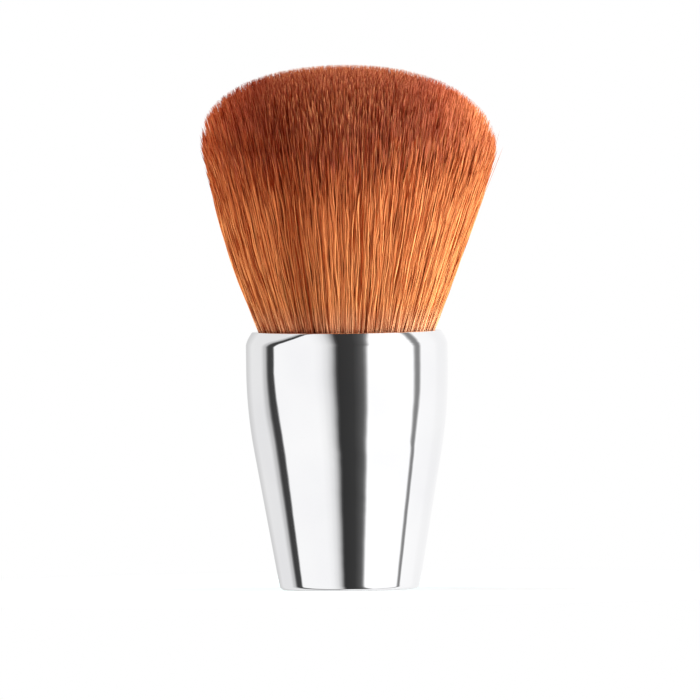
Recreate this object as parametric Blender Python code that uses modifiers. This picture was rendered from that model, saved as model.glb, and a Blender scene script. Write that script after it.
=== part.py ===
"""Foundation brush: a short flared tuft in a one-piece polished metal handle.

The brush stands on its foot, with +Z up the handle and the origin at the foot's centre.
Every round piece is a profile turned about Z. The handle's shell is open at both ends:
a plate closes the foot, a weight and a moulded plug fill the taper, and the knot of hair
is bonded in at the mouth.
"""

import math
import random

import bmesh
import bpy
from mathutils import Vector, geometry

MM = 0.001

# Between two pieces that touch
FIT_GAP = 0.3 * MM

# Handle shell
RIM_HEIGHT = 37.0 * MM
BODY_RADIUS = 14.5 * MM
FOOT_RADIUS = 9.85 * MM
KNEE_DROP = 11.3 * MM
BLEND_LENGTH = 12.0 * MM
SHELL_WALL = 0.9 * MM
SHOULDER_DROP = 2.0 * MM
SHOULDER_ROUND = 1.7 * MM
SHOULDER_TURN = math.radians(45.0)
MOUTH_ROLL = 1.75 * MM
LIP_EDGE = 0.45 * MM
LIP_ROUND = 0.15 * MM
LIP_LAND = 0.75 * MM
FOOT_ROUND = 0.6 * MM
FOOT_LAND = 2.25 * MM
FOOT_WALL = 0.9 * MM

# Plate in the foot, and its adhesive
FOOT_BEAD = 0.3 * MM
FLANGE_WALL = 1.0 * MM

# Weight
BALLAST_HEIGHT = 10.0 * MM
BALLAST_EDGE = 0.5 * MM

# Moulded plug under the knot
PLUG_WALL = 1.6 * MM
PLUG_ROOF = 2.0 * MM
PLUG_RIB = 1.2 * MM
PLUG_RIBS = 3

# Knot: ring, resin and adhesive
KNOT_SINK = 2.5 * MM
RING_HEIGHT = 8.4 * MM
RING_WALL = 0.5 * MM
RING_PLAY = 0.45 * MM
PAD_WALL = 0.6 * MM
COLLAR_DROP = 1.2 * MM
BACKING_WALL = 1.5 * MM

# Tuft
HEAD_RADIUS = 21.2 * MM
FLARE_HEIGHT = 27.5 * MM
DOME_HEIGHT = 10.7 * MM
TIP_LENGTH = 7.0 * MM
TIP_SPREAD = 0.8 * MM
STRAND_GAP = 0.24 * MM
FLARE_POWER = 1.3
DOME_POWER = 2.1
STRAND_RINGS = 9
STRAND_FILL = 1.15
POINT_DRIFT_SHARE = 0.16
STRAND_SEED = 7
UNIT_CLOSENESS = 1e-9

# Smoothness of the turned pieces
SHELL_STEPS = 64
INNER_STEPS = 40
ROUND_STEPS = 4
LIP_STEPS = 2
BEND_POINTS = 8
BORE_POINTS = 5
SIDE_POINTS = 6
MERGE_DISTANCE = 0.01 * MM

# Worked out from the sizes above
KNEE_HEIGHT = RIM_HEIGHT - KNEE_DROP
MOUTH_RADIUS = BODY_RADIUS - MOUTH_ROLL
TAPER = (BODY_RADIUS - FOOT_RADIUS) / KNEE_HEIGHT
LIP_RADIUS = MOUTH_RADIUS + LIP_EDGE
FOOT_OPENING = FOOT_RADIUS - FOOT_LAND
FLANGE_BOTTOM = FOOT_WALL + FIT_GAP + FOOT_BEAD + FIT_GAP
FLANGE_TOP = FLANGE_BOTTOM + FLANGE_WALL
BALLAST_BOTTOM = FLANGE_TOP + FIT_GAP
BALLAST_TOP = BALLAST_BOTTOM + BALLAST_HEIGHT
PLUG_BOTTOM = BALLAST_TOP + FIT_GAP
RING_TOP = RIM_HEIGHT - KNOT_SINK
RING_BOTTOM = RING_TOP - RING_HEIGHT
RING_RADIUS = MOUTH_RADIUS - RING_PLAY
RING_BORE = RING_RADIUS - RING_WALL
PAD_TOP = RING_BOTTOM - FIT_GAP
PAD_BOTTOM = PAD_TOP - PAD_WALL
PLUG_TOP = PAD_BOTTOM - FIT_GAP
COLLAR_TOP = RING_TOP - COLLAR_DROP
BACKING_BOTTOM = RING_TOP - BACKING_WALL
RESIN_TOP = BACKING_BOTTOM - FIT_GAP
KNOT_RADIUS = RING_BORE - FIT_GAP
ROOT_RADIUS = MOUTH_RADIUS - FIT_GAP
DOME_BASE = RIM_HEIGHT + FLARE_HEIGHT


def clear_scene():
    for thing in list(bpy.data.objects):
        bpy.data.objects.remove(thing, do_unlink=True)


def make_collection(name):
    group = bpy.data.collections.new(name)
    bpy.context.scene.collection.children.link(group)
    return group


def make_material(name, colour, roughness, metallic):
    material = bpy.data.materials.new(name)
    material.use_nodes = True
    shader = material.node_tree.nodes["Principled BSDF"]
    shader.inputs["Base Color"].default_value = (*colour, 1.0)
    shader.inputs["Roughness"].default_value = roughness
    shader.inputs["Metallic"].default_value = metallic
    material.diffuse_color = (*colour, 1.0)
    return material


def make_object(name, mesh, material, group):
    mesh.materials.append(material)
    thing = bpy.data.objects.new(name, mesh)
    group.objects.link(thing)
    return thing


def turned(name, outline, steps, material, group, closed=False):
    """Turns an outline of (radius, height) points about Z.

    The outline runs down its outer side. A closed one goes back up its inner side,
    and an open one starts and ends on the axis, where its points are merged.
    """
    mesh = bpy.data.meshes.new(name)
    points = [(radius, 0.0, height) for radius, height in outline]
    edges = [(i, i + 1) for i in range(len(points) - 1)]
    if closed:
        edges.append((len(points) - 1, 0))
    mesh.from_pydata(points, edges, [])
    thing = make_object(name, mesh, material, group)
    screw = thing.modifiers.new("turn", "SCREW")
    screw.steps = steps
    screw.render_steps = steps
    screw.use_merge_vertices = True
    screw.merge_threshold = MERGE_DISTANCE
    screw.use_smooth_shade = True
    return thing


def arc(centre, radius, start, end, steps):
    """Points of an arc about centre, from one angle above the horizontal to another."""
    points = []
    for i in range(steps + 1):
        angle = start + (end - start) * i / steps
        points.append((centre[0] + radius * math.cos(angle), centre[1] + radius * math.sin(angle)))
    return points


def spaced(start, end, count):
    """Evenly spaced values from start to end, both included."""
    return [start + (end - start) * i / (count - 1) for i in range(count)]


def body_radius(height):
    """The handle's outer radius: a cone, a parabolic bend, then a cylinder."""
    left = KNEE_HEIGHT + BLEND_LENGTH / 2 - height
    if left <= 0:
        return BODY_RADIUS
    if left >= BLEND_LENGTH:
        return FOOT_RADIUS + TAPER * height
    return BODY_RADIUS - TAPER * left**2 / (2 * BLEND_LENGTH)


def bore_radius(height):
    """The radius of the handle's inside, where its wall is whole."""
    return body_radius(height) - SHELL_WALL


def seat_radius(height):
    """The largest radius that clears the bore and still passed in through the mouth."""
    return min(bore_radius(height), MOUTH_RADIUS) - FIT_GAP


def handle_shell(material, group):
    """A tapering tube with its mouth rolled in to a thin lip and its foot turned in."""
    shoulder = RIM_HEIGHT - SHOULDER_DROP
    shoulder_radius = body_radius(shoulder)
    shoulder_centre = (shoulder_radius - SHOULDER_ROUND, shoulder)
    foot_slope = math.atan(TAPER)
    foot_reach = FOOT_ROUND * math.tan((math.pi / 2 - foot_slope) / 2)
    foot_centre = (FOOT_RADIUS - foot_reach, FOOT_ROUND)
    lip_centre = (LIP_RADIUS - LIP_ROUND, RIM_HEIGHT - LIP_ROUND)
    outline = [(MOUTH_RADIUS, RIM_HEIGHT - LIP_ROUND)]
    outline.append((MOUTH_RADIUS + LIP_ROUND / 2, RIM_HEIGHT))
    outline += arc(lip_centre, LIP_ROUND, math.pi / 2, math.pi / 2 - SHOULDER_TURN, LIP_STEPS)
    outline += arc(shoulder_centre, SHOULDER_ROUND, SHOULDER_TURN, 0.0, ROUND_STEPS)
    bend_top = min(KNEE_HEIGHT + BLEND_LENGTH / 2, shoulder)
    bend = spaced(bend_top, KNEE_HEIGHT - BLEND_LENGTH / 2, BEND_POINTS)
    outline += [(body_radius(height), height) for height in bend if height < shoulder]
    outline += arc(foot_centre, FOOT_ROUND, -foot_slope, -math.pi / 2, ROUND_STEPS)
    outline.append((FOOT_OPENING, 0.0))
    outline.append((FOOT_OPENING, FOOT_WALL))
    outline.append((bore_radius(FOOT_WALL), FOOT_WALL))
    neck = RIM_HEIGHT - LIP_LAND - (bore_radius(shoulder) - MOUTH_RADIUS)
    inner_bend = spaced(KNEE_HEIGHT - BLEND_LENGTH / 2, min(bend_top, neck), BORE_POINTS)
    outline += [(bore_radius(height), height) for height in inner_bend]
    outline.append((bore_radius(shoulder), neck))
    outline.append((MOUTH_RADIUS, RIM_HEIGHT - LIP_LAND))
    return turned("handle_shell", outline, SHELL_STEPS, material, group, closed=True)


def foot_disc(material, group):
    """A stepped plate: its boss fills the foot's opening, and its flange bears inside."""
    boss = FOOT_OPENING - FIT_GAP
    flange = bore_radius(FLANGE_BOTTOM) - FIT_GAP
    outline = [
        (0.0, FLANGE_TOP),
        (flange, FLANGE_TOP),
        (flange, FLANGE_BOTTOM),
        (boss, FLANGE_BOTTOM),
        (boss, 0.0),
        (0.0, 0.0),
    ]
    return turned("foot_disc", outline, SHELL_STEPS, material, group)


def foot_adhesive(material, group):
    """A flat ring between the turned-in foot and the plate's flange."""
    bottom = FOOT_WALL + FIT_GAP
    top = bottom + FOOT_BEAD
    outer = bore_radius(bottom) - FIT_GAP
    outline = [(FOOT_OPENING, top), (outer, top), (outer, bottom), (FOOT_OPENING, bottom)]
    return turned("foot_adhesive", outline, INNER_STEPS, material, group, closed=True)


def ballast_slug(material, group):
    """A solid weight turned to the taper of the bore, with both edges broken."""
    high = BALLAST_TOP - BALLAST_EDGE
    low = BALLAST_BOTTOM + BALLAST_EDGE
    outline = [
        (0.0, BALLAST_TOP),
        (seat_radius(high) - BALLAST_EDGE, BALLAST_TOP),
        (seat_radius(high), high),
        (seat_radius(low), low),
        (seat_radius(low) - BALLAST_EDGE, BALLAST_BOTTOM),
        (0.0, BALLAST_BOTTOM),
    ]
    return turned("ballast_slug", outline, INNER_STEPS, material, group)


def core_plug(material, group, cutters):
    """A moulded cup, open below, stiffened by ribs across its hollow."""
    sides = spaced(PLUG_TOP, PLUG_BOTTOM, SIDE_POINTS)
    outline = [(0.0, PLUG_TOP)]
    outline += [(seat_radius(height), height) for height in sides]
    outline.append((seat_radius(PLUG_BOTTOM) - PLUG_WALL, PLUG_BOTTOM))
    roof = PLUG_TOP - PLUG_ROOF
    outline.append((seat_radius(PLUG_BOTTOM) - PLUG_WALL, roof))
    outline.append((0.0, roof))
    plug = turned("core_plug", outline, INNER_STEPS, material, group)
    rib_bottom = PLUG_BOTTOM + FIT_GAP
    rib_top = PLUG_TOP - PLUG_ROOF / 2
    rib_length = 2 * seat_radius(PLUG_BOTTOM) - PLUG_WALL
    for i in range(PLUG_RIBS):
        bpy.ops.mesh.primitive_cube_add(size=1.0)
        rib = bpy.context.active_object
        rib.name = f"plug_rib_{i}"
        rib.scale = (rib_length, PLUG_RIB, rib_top - rib_bottom)
        rib.rotation_euler.z = math.pi * i / PLUG_RIBS
        rib.location.z = (rib_top + rib_bottom) / 2
        move_to(rib, cutters)
        join = plug.modifiers.new(f"rib_{i}", "BOOLEAN")
        join.operation = "UNION"
        join.solver = "EXACT"
        join.object = rib
    return plug


def move_to(thing, group):
    """Puts a guide piece, which isn't shown, in its own collection."""
    for owner in list(thing.users_collection):
        owner.objects.unlink(thing)
    group.objects.link(thing)
    thing.hide_render = True
    thing.display_type = "WIRE"


def knot_adhesive(material, group):
    """A cup: a pad on the plug, and a collar between the knot's ring and the bore."""
    inner = RING_RADIUS + FIT_GAP
    sides = spaced(COLLAR_TOP, PAD_BOTTOM, SIDE_POINTS)
    outline = [(0.0, PAD_TOP), (inner, PAD_TOP), (inner, COLLAR_TOP)]
    outline += [(bore_radius(height) - FIT_GAP, height) for height in sides]
    outline.append((0.0, PAD_BOTTOM))
    return turned("knot_adhesive", outline, INNER_STEPS, material, group)


def knot_ring(material, group):
    """The thin ring that gathers the roots."""
    outline = [
        (RING_BORE, RING_TOP),
        (RING_RADIUS, RING_TOP),
        (RING_RADIUS, RING_BOTTOM),
        (RING_BORE, RING_BOTTOM),
    ]
    return turned("knot_ring", outline, INNER_STEPS, material, group, closed=True)


def knot_resin(material, group):
    """The resin cast round the roots, below the slice that the tuft carries."""
    outline = [
        (0.0, RESIN_TOP),
        (KNOT_RADIUS, RESIN_TOP),
        (KNOT_RADIUS, RING_BOTTOM),
        (0.0, RING_BOTTOM),
    ]
    return turned("knot_resin", outline, INNER_STEPS, material, group)


def head_radius(height):
    """The tuft's outer radius: straight from the resin to the rim, then a slowing flare."""
    if height <= RIM_HEIGHT:
        risen = (height - RING_TOP) / KNOT_SINK
        return KNOT_RADIUS + (ROOT_RADIUS - KNOT_RADIUS) * risen
    left = max(0.0, 1.0 - (height - RIM_HEIGHT) / FLARE_HEIGHT)
    return ROOT_RADIUS + (HEAD_RADIUS - ROOT_RADIUS) * (1.0 - left**FLARE_POWER)


def tip_height(share):
    """The height of the dome over a strand at this share of the head's radius."""
    return DOME_BASE + DOME_HEIGHT * math.sqrt(max(0.0, 1.0 - share**DOME_POWER))


def root_points(chance):
    """Unit-disc points in rings of 6, 12, 18 and so on, all but the last moved a little."""
    drift = POINT_DRIFT_SHARE / STRAND_RINGS
    points = [Vector((0.0, 0.0))]
    for ring in range(1, STRAND_RINGS + 1):
        count = 6 * ring
        for i in range(count):
            angle = 2 * math.pi * (i + ring / 2) / count
            point = Vector((math.cos(angle), math.sin(angle))) * ring / STRAND_RINGS
            if ring < STRAND_RINGS:
                point += Vector((chance.uniform(-drift, drift), chance.uniform(-drift, drift)))
            points.append(point)
    return points


def draw_up(work, face, centre, old_height, height, fill):
    """Extrudes a strand's top face to a height, opened out as the head flares there.

    centre is the strand's place on the unit disc, and fill is the share by which its
    section grows or shrinks apart from the flare.
    """
    top = bmesh.ops.extrude_discrete_faces(work, faces=[face])["faces"][0]
    for vert in top.verts:
        corner = Vector(vert.co.xy) / head_radius(old_height)
        spot = (centre + (corner - centre) * fill) * head_radius(height)
        vert.co = (spot.x, spot.y, height)
    return top


def bristle_tuft(material, group):
    """Three-sided strands that rise from a slice of resin and open out without crossing.

    The slice's top is a triangle mesh of the disc. Each triangle is inset, drawn up
    along its own line of the flare, and closed with a long pointed tip.
    """
    chance = random.Random(STRAND_SEED)
    points = root_points(chance)
    cells = geometry.delaunay_2d_cdt(points, [], [], 0, UNIT_CLOSENESS)
    mesh = bpy.data.meshes.new("bristle_tuft")
    work = bmesh.new()
    verts = [work.verts.new((p.x * KNOT_RADIUS, p.y * KNOT_RADIUS, RING_TOP)) for p in cells[0]]
    roots = [work.faces.new([verts[i] for i in cell]) for cell in cells[2]]
    rim = [edge for edge in work.edges if edge.is_boundary]
    drawn = bmesh.ops.extrude_edge_only(work, edges=rim)["geom"]
    for item in drawn:
        if isinstance(item, bmesh.types.BMVert):
            item.co.z = BACKING_BOTTOM
    low_edges = [edge for edge in work.edges if edge.is_boundary]
    bmesh.ops.contextual_create(work, geom=low_edges)
    bmesh.ops.inset_individual(work, faces=roots, thickness=STRAND_GAP / 2)
    for root in roots:
        centre = Vector(root.calc_center_median().xy) / KNOT_RADIUS
        tip = tip_height(centre.length) - chance.uniform(0.0, TIP_SPREAD)
        top = draw_up(work, root, centre, RING_TOP, tip - TIP_LENGTH, STRAND_FILL)
        point = bmesh.ops.poke(work, faces=[top])["verts"][0]
        spot = centre * head_radius(tip)
        point.co = (spot.x, spot.y, tip)
    bmesh.ops.recalc_face_normals(work, faces=work.faces)
    work.to_mesh(mesh)
    work.free()
    return make_object("bristle_tuft", mesh, material, group)


def main():
    clear_scene()
    parts = make_collection("foundation_brush")
    cutters = make_collection("cutters")
    chrome = make_material("polished metal", (0.86, 0.86, 0.87), 0.05, 1.0)
    plate = make_material("satin plate", (0.72, 0.72, 0.73), 0.30, 1.0)
    glue = make_material("clear adhesive", (0.80, 0.76, 0.66), 0.25, 0.0)
    steel = make_material("turned steel", (0.45, 0.45, 0.46), 0.40, 1.0)
    plastic = make_material("moulded plastic", (0.10, 0.10, 0.11), 0.45, 0.0)
    ring = make_material("drawn aluminium", (0.75, 0.75, 0.76), 0.35, 1.0)
    bond = make_material("bonding resin", (0.85, 0.80, 0.70), 0.30, 0.0)
    resin = make_material("cast resin", (0.50, 0.36, 0.20), 0.25, 0.0)
    filament = make_material("brown filament", (0.42, 0.15, 0.06), 0.50, 0.0)
    handle_shell(chrome, parts)
    foot_disc(plate, parts)
    foot_adhesive(glue, parts)
    ballast_slug(steel, parts)
    core_plug(plastic, parts, cutters)
    knot_adhesive(bond, parts)
    knot_ring(ring, parts)
    knot_resin(resin, parts)
    bristle_tuft(filament, parts)


main()
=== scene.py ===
import math

import bpy
import numpy as np
from mathutils import Matrix


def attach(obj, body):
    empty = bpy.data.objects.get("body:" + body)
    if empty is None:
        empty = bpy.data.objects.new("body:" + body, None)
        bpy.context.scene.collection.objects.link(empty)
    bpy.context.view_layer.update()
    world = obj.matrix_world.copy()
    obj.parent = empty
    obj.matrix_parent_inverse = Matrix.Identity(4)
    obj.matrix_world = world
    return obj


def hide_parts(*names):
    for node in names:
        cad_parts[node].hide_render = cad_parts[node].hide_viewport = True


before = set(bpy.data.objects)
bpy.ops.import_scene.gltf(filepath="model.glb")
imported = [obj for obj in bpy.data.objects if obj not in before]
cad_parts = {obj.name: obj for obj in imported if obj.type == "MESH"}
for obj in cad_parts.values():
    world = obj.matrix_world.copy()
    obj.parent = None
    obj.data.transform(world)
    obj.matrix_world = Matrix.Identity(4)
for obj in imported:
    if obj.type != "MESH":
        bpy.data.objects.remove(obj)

# Foundation brush: a short flared tuft of filament in a polished chrome handle.
# Sizes are in millimetres here, and mm turns them to Blender's metres.
mm = 0.001
turn = 2 * math.pi
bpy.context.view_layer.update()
print("frame loaded:", len(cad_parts), "nodes")


# Shared helpers

def linearColour(hexText):
    # the sRGB curve undone channel by channel, because shaders work in linear light
    shares = [int(hexText[i:i + 2], 16) / 255 for i in (1, 3, 5)]
    return [c / 12.92 if c <= 0.04045 else ((c + 0.055) / 1.055) ** 2.4 for c in shares] + [1.0]


def addNode(tree, kind, inputs=None, stops=None, points=None, **settings):
    # one node with its settings; an input that is another node's socket is linked, any other is set.
    # A colour Mix node takes its two colours at inputs 6 and 7 and gives the mix at output 2
    node = tree.nodes.new(kind)
    for name, value in settings.items():
        setattr(node, name, value)
    for name, value in (inputs or {}).items():
        if isinstance(value, bpy.types.NodeSocket):
            tree.links.new(value, node.inputs[name])
        else:
            node.inputs[name].default_value = value
    if stops:  # a colour ramp's (place, hex colour) pairs
        ramp = node.color_ramp
        while len(ramp.elements) < len(stops):
            ramp.elements.new(1.0)
        for element, (place, colour) in zip(ramp.elements, stops):
            element.position = place
            element.color = linearColour(colour)
    if points:  # a float curve's (in, out) pairs, free to pass below zero
        mapping = node.mapping
        mapping.clip_min_x, mapping.clip_min_y = -1.0, -1.0
        curve = mapping.curves[0]
        while len(curve.points) < len(points):
            curve.points.new(0.0, 0.0)
        for point, place in zip(curve.points, points):
            point.location = place
            point.handle_type = "AUTO_CLAMPED"
        mapping.update()
    return node


def newMaterial(name, **values):
    # a Principled material with numbers that hold all over the surface set on its own sockets
    material = bpy.data.materials.new(name)
    material.use_nodes = True
    tree = material.node_tree
    shader = tree.nodes["Principled BSDF"]
    for socket, value in values.items():
        shader.inputs[socket.replace("_", " ")].default_value = value
    return material, tree, shader


def buildMesh(name, vertices, quads, triangles, cornerUv=None, sharpAngle=None):
    # puts whole arrays into a mesh; quads come first, then triangles, and cornerUv has the same order
    corners = np.concatenate([quads.ravel(), triangles.ravel()]).astype(np.int32)
    starts = np.concatenate([np.arange(len(quads)) * 4, len(quads) * 4 + np.arange(len(triangles)) * 3])
    mesh = bpy.data.meshes.new(name)
    mesh.vertices.add(len(vertices))
    mesh.vertices.foreach_set("co", vertices.astype(np.float32).ravel())
    mesh.loops.add(len(corners))
    mesh.loops.foreach_set("vertex_index", corners)
    mesh.polygons.add(len(starts))
    mesh.polygons.foreach_set("loop_start", starts.astype(np.int32))
    mesh.update(calc_edges=True)
    if cornerUv is not None:
        layer = mesh.uv_layers.new(name="OFBake")
        layer.data.foreach_set("uv", cornerUv.astype(np.float32).ravel())
    mesh.shade_smooth()
    if sharpAngle is not None:
        mesh.set_sharp_from_angle(angle=math.radians(sharpAngle))
    mesh.validate()
    thing = bpy.data.objects.new(name, mesh)
    bpy.context.scene.collection.objects.link(thing)
    return thing


def closeGrid(name, grid, poles=None, sharpAngle=None):
    # a skin over a grid of points round Z whose rows run down the outside: the rows close into a loop, or
    # the first and last row are each drawn together at a pole
    rows, steps = grid.shape[:2]
    vertices = grid.reshape(-1, 3)
    row = np.arange(rows if poles is None else rows - 1)[:, None]
    column = np.arange(steps)[None, :]
    below, beside = (row + 1) % rows, (column + 1) % steps
    quads = np.stack([row * steps + column, below * steps + column,
                      below * steps + beside, row * steps + beside], axis=2).reshape(-1, 4)
    triangles = np.zeros((0, 3), int)
    if poles is not None:
        top, bottom, last = len(vertices), len(vertices) + 1, (rows - 1) * steps
        here, there = column[0], beside[0]
        triangles = np.concatenate([
            np.stack([np.full(steps, top), here, there], axis=1),
            np.stack([np.full(steps, bottom), last + there, last + here], axis=1)])
        vertices = np.concatenate([vertices, poles])
    return buildMesh(name, vertices, quads, triangles, sharpAngle=sharpAngle)


def revolve(name, outline, steps, loop, sharpAngle=None):
    # an outline of (radius, height) in mm carried round Z: x = r cos a, y = r sin a, z = h.
    # A loop closes on itself; otherwise its two ends lie on the axis and become poles
    outline = np.array(outline) * mm
    angle = np.arange(steps) * turn / steps
    body = outline if loop else outline[1:-1]
    grid = np.stack([body[:, :1] * np.cos(angle), body[:, :1] * np.sin(angle),
                     np.repeat(body[:, 1:], steps, axis=1)], axis=2)
    poles = None if loop else [[0, 0, outline[0, 1]], [0, 0, outline[-1, 1]]]
    return closeGrid(name, grid, poles, sharpAngle)


def arcPoints(centre, radius, start, end, count):
    # (radius, height) points of an arc, angles in degrees above the horizontal
    angle = np.radians(np.linspace(start, end, count))
    return np.stack([centre[0] + radius * np.cos(angle), centre[1] + radius * np.sin(angle)], axis=1)


def smoothStep(value, low, high):
    # 0 up to low, 1 from high on, and 3 s^2 - 2 s^3 between them
    share = np.clip((value - low) / (high - low), 0, 1)
    return share * share * (3 - 2 * share)


def axesMatrix(right, up, back, place):
    # the pose of a camera or lamp that looks against back
    return Matrix([[right[i], up[i], back[i], place[i]] for i in range(3)] + [[0, 0, 0, 1]])


# Camera: the photograph's angle, a long lens a little above the brush, tipped by half a degree
camera = {
    "distance": 2700.0,
    "elevation": 1.2,
    "roll": 0.72,
    "pixel": 0.1437,       # mm of the brush that one pixel of a 700 pixel frame covers
    "frame": 700,
    "sensor": 36.0,
    "axisPixel": 346.8,    # where the brush's axis crosses the frame's middle row
    "footRow": 588.5,
    "clip": (0.05, 50),    # metres
}


def placeCamera(c):
    e, rho = math.radians(c["elevation"]), math.radians(c["roll"])
    back = np.array([0, -math.cos(e), math.sin(e)])
    right, up = np.array([1.0, 0, 0]), np.array([0, math.sin(e), math.cos(e)])
    right, up = math.cos(rho) * right - math.sin(rho) * up, math.cos(rho) * up + math.sin(rho) * right
    middle = c["frame"] / 2
    target = np.array([(middle - c["axisPixel"]) * c["pixel"], 0, (c["footRow"] - middle) * c["pixel"]])
    place = (target + back * c["distance"]) * mm
    data = bpy.data.cameras.new("camera")
    data.sensor_width = c["sensor"]
    data.lens = c["sensor"] * c["distance"] / (c["frame"] * c["pixel"])
    data.clip_start, data.clip_end = c["clip"]
    thing = bpy.data.objects.new("camera", data)
    thing.matrix_world = axesMatrix(right, up, back, place)
    bpy.context.scene.collection.objects.link(thing)
    bpy.context.scene.camera = thing


placeCamera(camera)
bpy.context.scene.view_settings.view_transform = "Standard"
print("camera placed")


# Studio: white panels to the left, the right and behind, with three dark gaps between them. Only what
# is glossy sees them. Each gap runs from low to high along one axis of the direction, and both lines
# are given over the direction's height from -1 (down) to 1 (up). Its tones run across it from 0 to 1.
studio = {
    "background": "#FFFFFF",
    "gain": 1.15,               # the tones are as chrome shows them, and chrome keeps 0.87 of the light
    # the panels' tones from the front, 0, to the back, 1
    "leftPanel": [(0.50, "#F6F6F6"), (0.55, "#E3E3E3"), (0.885, "#E2E2E2"), (0.93, "#D7D7D7"),
                  (0.97, "#CBCBCB")],
    "rightPanel": [(0.50, "#FFFFFF"), (0.55, "#F8F8F8"), (0.75, "#F6F6F6"), (0.82, "#F1F1F1"),
                   (0.9, "#EFEFEF")],
    "seam": 0.08,               # the panels meet softly, this far to each side of the middle
    "fade": (0.05, 0.15),       # a gap fades in over this range of the axis that it faces
    "slot": {
        "axis": "X", "facing": ("Y", -1),
        "low": [(-1, -0.40), (-0.40, -0.495), (-0.315, -0.534), (-0.15, -0.577), (-0.02, -0.62),
                (0.4, -0.596), (0.61, -0.578), (0.8, -0.554), (1, -0.53)],
        "high": [(-1, 0.42), (-0.40, 0.417), (-0.315, 0.398), (-0.15, 0.42), (-0.02, 0.42),
                 (0.4, 0.421), (0.61, 0.388), (0.8, 0.344), (1, 0.30)],
        "tones": [(0.0, "#F6F6F6"), (0.115, "#EFEFEF"), (0.22, "#DEDEDE"), (0.298, "#BEBEBE"),
                  (0.345, "#929292"), (0.40, "#464646"), (0.44, "#323232"), (0.6, "#353535"),
                  (0.71, "#383838"), (0.79, "#454545"), (0.856, "#525252"), (0.90, "#606060"),
                  (0.945, "#909090"), (1.0, "#FFFFFF")],
    },
    "leftGap": {
        "axis": "Y", "facing": ("X", -1),
        "low": [(-1, -0.20), (-0.265, -0.088), (-0.22, -0.081), (-0.105, -0.022), (-0.02, 0.02), (0.27, 0.0),
                (0.42, -0.03), (0.52, -0.08), (0.70, -0.138), (1, -0.17)],
        "high": [(-1, 0.30), (-0.265, 0.382), (-0.22, 0.37), (-0.105, 0.433), (-0.02, 0.45), (0.27, 0.445),
                 (0.42, 0.353), (0.52, 0.24), (0.62, 0.13), (0.78, 0.016), (1, -0.03)],
        "tones": [(0.0, "#F6F6F6"), (0.03, "#E8E8E8"), (0.075, "#929292"), (0.14, "#424242"),
                  (0.40, "#3C3C3C"), (0.488, "#505050"), (0.56, "#808080"), (0.63, "#AEAEAE"),
                  (0.70, "#BFBFBF"), (0.77, "#C3C3C3"), (0.88, "#D6D6D6"), (1.0, "#E2E2E2")],
    },
    "rightGap": {
        "axis": "Y", "facing": ("X", 1),
        "low": [(-1, 0.0), (-0.276, -0.098), (-0.242, -0.142), (-0.118, -0.149), (-0.02, -0.155),
                (0.17, -0.17), (0.35, -0.129), (0.45, -0.12), (0.52, -0.088), (0.60, -0.067),
                (0.70, 0.0), (1, 0.15)],
        "high": [(-1, 0.20), (-0.276, 0.066), (-0.242, 0.035), (-0.18, 0.038), (-0.118, 0.072),
                 (-0.02, 0.085), (0.17, 0.097), (0.35, 0.142), (0.45, 0.159), (0.52, 0.194),
                 (0.60, 0.225), (0.70, 0.26), (1, 0.40)],
        "tones": [(0.0, "#FFFFFF"), (0.14, "#D2D2D2"), (0.26, "#A0A0A0"), (0.40, "#858585"),
                  (0.60, "#808080"), (0.74, "#909090"), (0.86, "#C6C6C6"), (1.0, "#F8F8F8")],
    },
    # how bright the room falls on matt surfaces from the front and from the back, and its colour
    "front": 0.89, "back": 0.16, "warmth": "#FFA28A",
}


def gapTones(tree, axes, gap, fade):
    # a mask that is 1 between the gap's two lines, and the tone by how far across the gap a direction points
    height, along = axes.outputs["Z"], axes.outputs[gap["axis"]]
    low = addNode(tree, "ShaderNodeFloatCurve", {"Value": height}, points=gap["low"])
    high = addNode(tree, "ShaderNodeFloatCurve", {"Value": height}, points=gap["high"])
    gone = addNode(tree, "ShaderNodeMath", {0: along, 1: low.outputs[0]}, operation="SUBTRACT")
    width = addNode(tree, "ShaderNodeMath", {0: high.outputs[0], 1: low.outputs[0]}, operation="SUBTRACT")
    share = addNode(tree, "ShaderNodeMath", {0: gone.outputs[0], 1: width.outputs[0]}, operation="DIVIDE")
    tone = addNode(tree, "ShaderNodeValToRGB", {"Fac": share.outputs[0]}, stops=gap["tones"])
    past = addNode(tree, "ShaderNodeMath", {0: share.outputs[0], 1: 0.0}, operation="GREATER_THAN")
    before = addNode(tree, "ShaderNodeMath", {0: share.outputs[0], 1: 1.0}, operation="LESS_THAN")
    between = addNode(tree, "ShaderNodeMath", {0: past.outputs[0], 1: before.outputs[0]},
                      operation="MULTIPLY")
    axis, sign = gap["facing"]
    facing = addNode(tree, "ShaderNodeMapRange", {"Value": axes.outputs[axis], "From Min": sign * fade[0],
                     "From Max": sign * fade[1]})
    mask = addNode(tree, "ShaderNodeMath", {0: between.outputs[0], 1: facing.outputs[0]},
                   operation="MULTIPLY")
    return mask.outputs[0], tone.outputs["Color"]


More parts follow.
